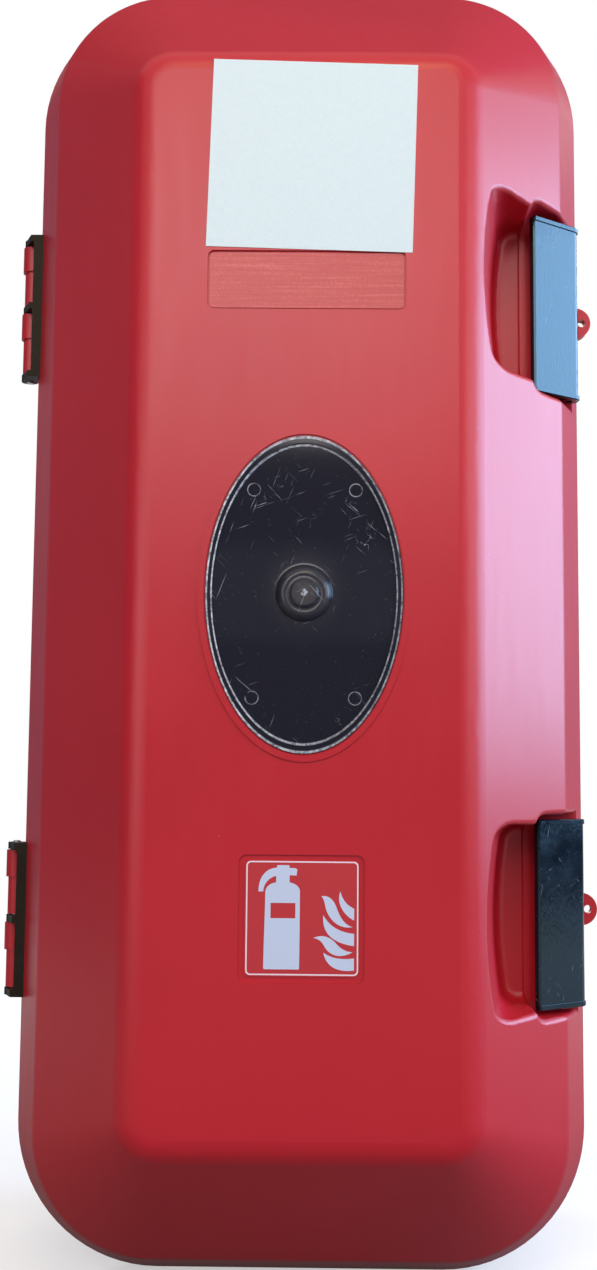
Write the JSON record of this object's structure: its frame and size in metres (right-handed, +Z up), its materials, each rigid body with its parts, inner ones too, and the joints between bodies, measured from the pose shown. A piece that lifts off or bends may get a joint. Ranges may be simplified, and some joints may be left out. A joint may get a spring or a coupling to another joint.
{
  "type": "fire extinguisher cabinet",
  "caption": "Upright moulded plastic cabinet for a fire extinguisher, with a deep hinged lid, an oval clear window, lever latches and a pictogram sign.",
  "frame": {"origin": "centre of the flat back face of the tray, which bears on the wall", "axes": "+Z up along the cabinet's height, -Y out of the lid's front, +X to the right seen from the front, where the latches are"},
  "size_m": [0.298, 0.2336, 0.65],
  "materials": {
    "red_plastic": "satin",
    "seal_rubber": "matt",
    "black_plastic": "satin",
    "latch_plastic": "satin, scratched",
    "steel_pin": "zinc plated",
    "smoked_window": "clear, scuffed",
    "sign_vinyl": "printed",
    "panel_plastic": "fine grain",
    "label_paper": "paper"
  },
  "bodies": {
    "base": {"base_shell": "red_plastic", "rim_seal": "seal_rubber", "bottle_saddle_upper": "black_plastic", "bottle_saddle_lower": "black_plastic", "hinge_pin_upper": "steel_pin", "hinge_pin_lower": "steel_pin"},
    "lid": {"lid_shell": "red_plastic", "window_lens": "smoked_window", "window_gasket": "seal_rubber", "window_retainer": "black_plastic", "sign_plate": "sign_vinyl", "name_panel": "panel_plastic", "paper_label": "label_paper", "hinge_leaf_upper": "black_plastic", "hinge_leaf_lower": "black_plastic", "latch_bracket_upper": "red_plastic", "latch_bracket_lower": "red_plastic", "latch_pin_upper": "steel_pin", "latch_pin_lower": "steel_pin"},
    "upper_lever": {"latch_lever_upper": "latch_plastic"},
    "lower_lever": {"latch_lever_lower": "latch_plastic"}
  },
  "joints": [
    {"name": "lid_hinge", "type": "hinge", "parent": "base", "child": "lid", "pos_m": [-0.146, -0.132, 0], "axis": [0, 0, -1], "range_deg": [0, 120]},
    {"name": "upper_latch", "type": "hinge", "parent": "lid", "child": "upper_lever", "pos_m": [0.1334, -0.1558, 0.15], "axis": [0, 0, 1], "range_deg": [0, 90]},
    {"name": "lower_latch", "type": "hinge", "parent": "lid", "child": "lower_lever", "pos_m": [0.1334, -0.1558, -0.15], "axis": [0, 0, 1], "range_deg": [0, 90]}
  ]
}
